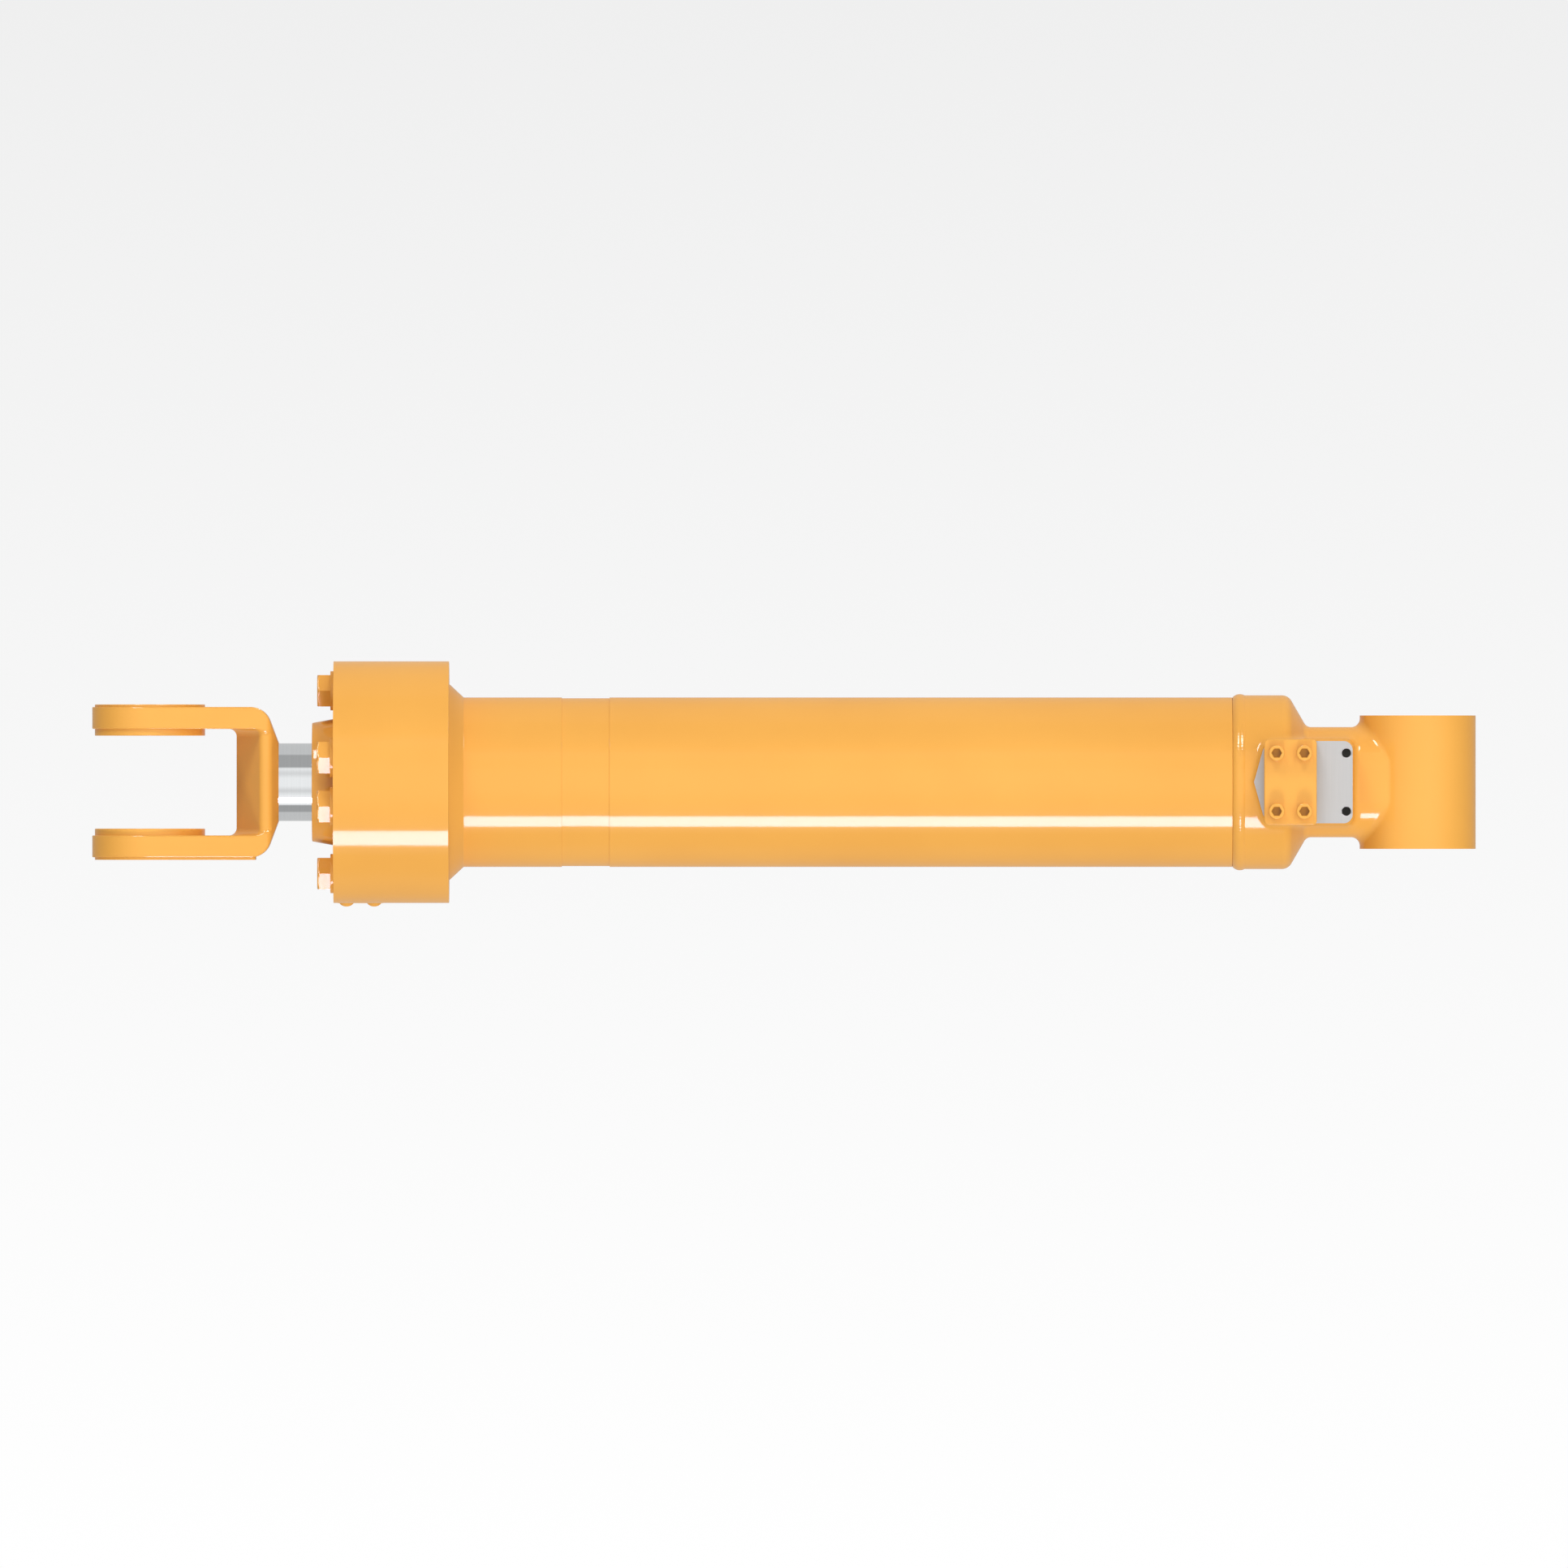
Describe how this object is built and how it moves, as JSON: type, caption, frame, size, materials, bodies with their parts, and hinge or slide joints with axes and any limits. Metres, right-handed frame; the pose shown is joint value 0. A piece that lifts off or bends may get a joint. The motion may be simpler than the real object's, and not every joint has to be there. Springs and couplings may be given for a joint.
{
  "type": "hydraulic cylinder",
  "caption": "Double-acting hydraulic cylinder with a rod clevis, bolted head, covered flange ports and a bushed base eye; the rod slides and turns in the barrel.",
  "frame": {"origin": "centre of the base eye's pin bore, midway along the pin", "axes": "+X along the barrel away from the rod clevis, so the rod extends towards -X; +Z along both pins; the base port faces -Y"},
  "size_m": [1.5867, 0.2819, 0.2819],
  "materials": {
    "yellow_paint": "glossy machine enamel, warm yellow",
    "bearing_steel": "fine turned steel",
    "rod_chrome": "ground and polished hard chrome",
    "piston_iron": "turned",
    "seal_rubber": "smooth black rubber",
    "bearing_resin": "filled bearing resin"
  },
  "bodies": {
    "barrel": {"barrel_tube": "yellow_paint", "front_flange": "yellow_paint", "front_girth_weld": "yellow_paint", "base_cap": "yellow_paint", "base_girth_weld": "yellow_paint", "base_eye_bushing": "bearing_steel", "base_eye_seal_upper": "seal_rubber", "base_eye_seal_lower": "seal_rubber", "gland": "yellow_paint", "gland_bolts": "yellow_paint", "gland_washers": "yellow_paint", "gland_o_ring": "seal_rubber", "gland_backup_ring": "bearing_resin", "rod_wiper": "seal_rubber", "rod_seal": "seal_rubber", "rod_buffer_seal": "bearing_resin", "rod_wear_ring_outer": "bearing_resin", "rod_wear_ring_inner": "bearing_resin", "base_port_cover": "yellow_paint", "base_port_screws": "yellow_paint", "base_port_o_ring": "seal_rubber", "rod_port_cover": "yellow_paint", "rod_port_screws": "yellow_paint", "rod_port_o_ring": "seal_rubber"},
    "piston_rings": {"piston_seal_ring": "bearing_resin", "piston_seal_energizer": "seal_rubber", "piston_wear_ring_front": "bearing_resin", "piston_wear_ring_rear": "bearing_resin"},
    "rod": {"piston_rod": "rod_chrome", "piston": "piston_iron", "piston_nut": "bearing_steel", "piston_static_o_ring": "seal_rubber", "rod_clevis": "yellow_paint"}
  },
  "joints": [
    {"name": "rod_slide", "type": "slide", "parent": "barrel", "child": "piston_rings", "axis": [-1, 0, 0], "range_m": [0, 0.78]},
    {"name": "rod_spin", "type": "hinge", "parent": "piston_rings", "child": "rod", "pos_m": [0, 0, 0], "axis": [-1, 0, 0], "continuous": true}
  ]
}
